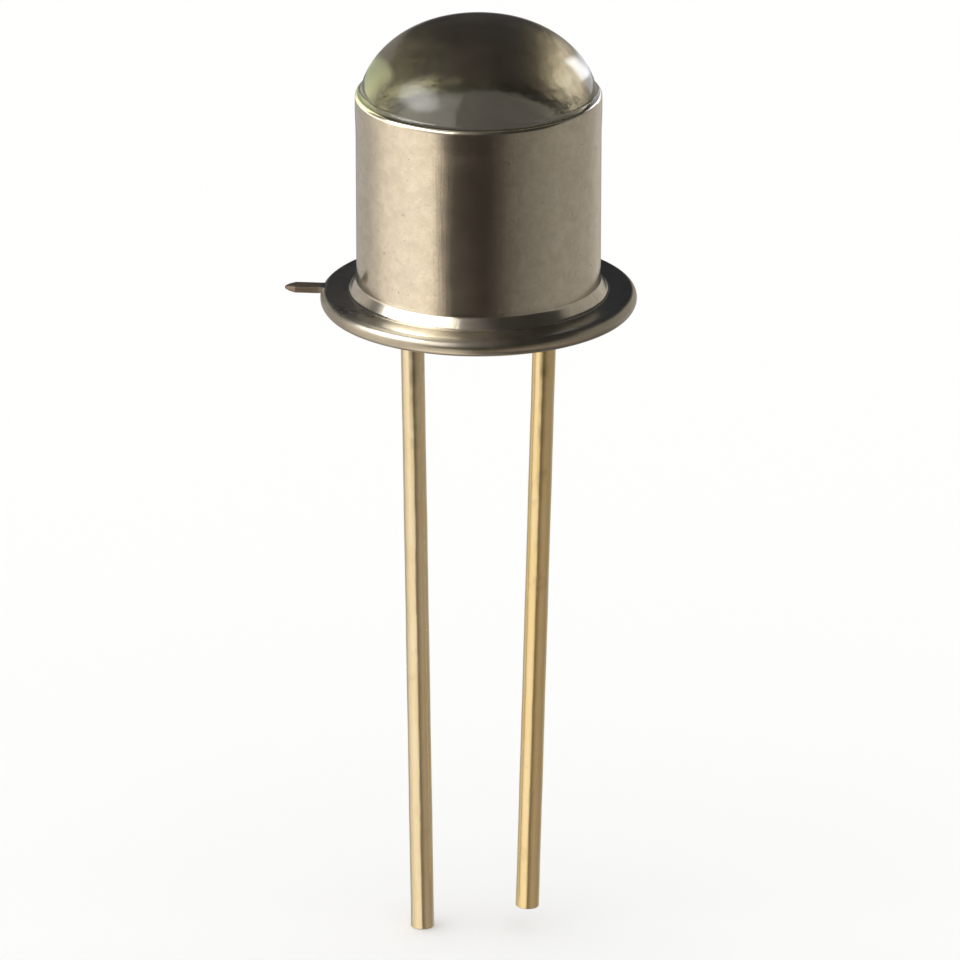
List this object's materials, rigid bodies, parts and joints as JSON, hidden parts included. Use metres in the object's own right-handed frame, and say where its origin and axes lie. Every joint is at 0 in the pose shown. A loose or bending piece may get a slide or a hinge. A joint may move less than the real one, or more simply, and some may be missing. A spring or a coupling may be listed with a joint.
{
  "type": "infrared led",
  "caption": "Hermetic metal-can infrared emitter: round can with a fused glass dome, flanged header with an index tab, and two round wire leads.",
  "frame": {"origin": "centre of the header's underside, which is the seating plane", "axes": "+Z along the optical axis towards the dome, leads along -Z in the XZ plane, index tab towards -X (5 degrees to +Y)"},
  "size_m": [0.0067, 0.006, 0.0184],
  "materials": {
    "can_nickel": "satin nickel plate on drawn steel, warm grey",
    "header_nickel": "smooth nickel plate on a stamped header",
    "lead_gold": "thin pale gold plate, drawn wire",
    "lens_glass": "clear fire-polished soft glass",
    "seal_glass": "dark opaque sealing glass",
    "attach_silver": "cured silver-filled adhesive",
    "die_semiconductor": "sawn gallium arsenide with a gold contact",
    "wire_gold": "bright gold"
  },
  "bodies": {
    "root": {"header": "header_nickel", "seal_glass": "seal_glass", "anode_lead": "lead_gold", "cathode_lead": "lead_gold", "die_attach": "attach_silver", "led_die": "die_semiconductor", "bond_wire": "wire_gold", "can": "can_nickel", "lens": "lens_glass"}
  },
  "joints": []
}
